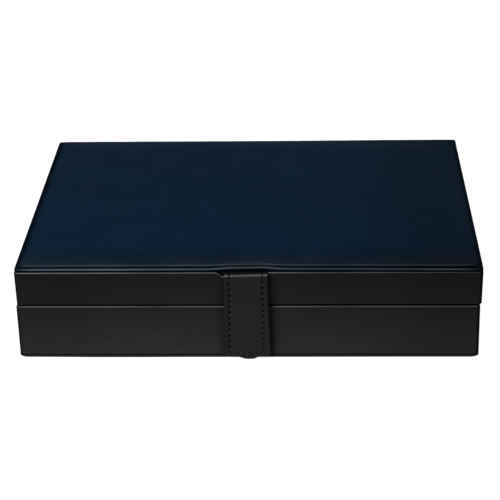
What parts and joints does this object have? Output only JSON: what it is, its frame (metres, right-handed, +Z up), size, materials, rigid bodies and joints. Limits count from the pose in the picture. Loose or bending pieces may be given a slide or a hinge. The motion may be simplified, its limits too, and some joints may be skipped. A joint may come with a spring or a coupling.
{
  "type": "cufflink box with drawer",
  "caption": "Low leather-covered box with a padded hinged lid, a front closing strap with a hidden magnet, a tray of cufflink rolls and open bays, and a drawer in the right-hand end.",
  "frame": {"origin": "middle of the box's underside, on the felt that it rests on, midway between the covered walls", "axes": "+X to the right, towards the drawer's end; +Y to the back, where the hinges are; +Z up"},
  "size_m": [0.2985, 0.2407, 0.063],
  "materials": {
    "black_leather": "semi-matt, fine grain",
    "navy_leather": "semi-matt, fine grain",
    "board": "medium-density fibreboard",
    "suede": "microfibre suede",
    "felt": "felt",
    "card": "pressed card",
    "foam": "foam",
    "brass": "satin",
    "steel": "nickel plated",
    "thread": "waxed thread"
  },
  "bodies": {
    "base": {"base_bottom_board": "board", "base_front_board": "board", "base_back_board": "board", "base_left_board": "board", "base_right_board": "board", "base_leather": "black_leather", "underside_felt": "felt", "tray_floor_board": "board", "tray_wall_front": "suede", "tray_wall_back": "suede", "tray_wall_left": "suede", "tray_wall_right": "suede", "tray_divider_long": "suede", "tray_cross_dividers": "suede", "cufflink_roll_1": "suede", "cufflink_roll_2": "suede", "cufflink_roll_3": "suede", "cufflink_roll_4": "suede", "cufflink_roll_5": "suede", "cufflink_roll_6": "suede", "cufflink_roll_7": "suede", "drawer_guide_front": "board", "drawer_guide_back": "board", "drawer_stop_strip": "board", "strap_keeper": "steel", "hinge_left_base_leaf": "brass", "hinge_right_base_leaf": "brass", "hinge_left_pin": "steel", "hinge_right_pin": "steel", "hinge_base_screws": "brass"},
    "lid": {"lid_top_board": "board", "lid_front_rail": "board", "lid_back_rail": "board", "lid_left_rail": "board", "lid_right_rail": "board", "lid_wall_leather": "black_leather", "lid_wall_lining": "suede", "lid_lining_pad": "suede", "top_panel_card": "card", "top_panel_foam": "foam", "top_panel_leather": "navy_leather", "strap_tongue": "black_leather", "hinge_left_lid_leaf": "brass", "hinge_right_lid_leaf": "brass", "hinge_lid_screws": "brass"},
    "strap": {"strap_outer_leather": "black_leather", "strap_lining_leather": "black_leather", "strap_magnet": "steel", "strap_stitches": "thread"},
    "drawer": {"drawer_front_board": "board", "drawer_front_leather": "black_leather", "drawer_pull": "black_leather", "drawer_bottom": "board", "drawer_side_front": "board", "drawer_side_back": "board", "drawer_inner_end": "board", "drawer_lining": "suede", "drawer_divider_long": "suede", "drawer_cross_dividers": "suede"}
  },
  "joints": [
    {"name": "lid_hinge", "type": "hinge", "parent": "base", "child": "lid", "pos_m": [0, 0.119, 0.0363], "axis": [-1, 0, 0], "range_deg": [0, 95]},
    {"name": "strap_flip", "type": "hinge", "parent": "lid", "child": "strap", "pos_m": [-0.0007, -0.1186, 0.0571], "axis": [-1, 0, 0], "range_deg": [0, 150]},
    {"name": "drawer_slide", "type": "slide", "parent": "base", "child": "drawer", "axis": [1, 0, 0], "range_m": [0, 0.2]}
  ]
}
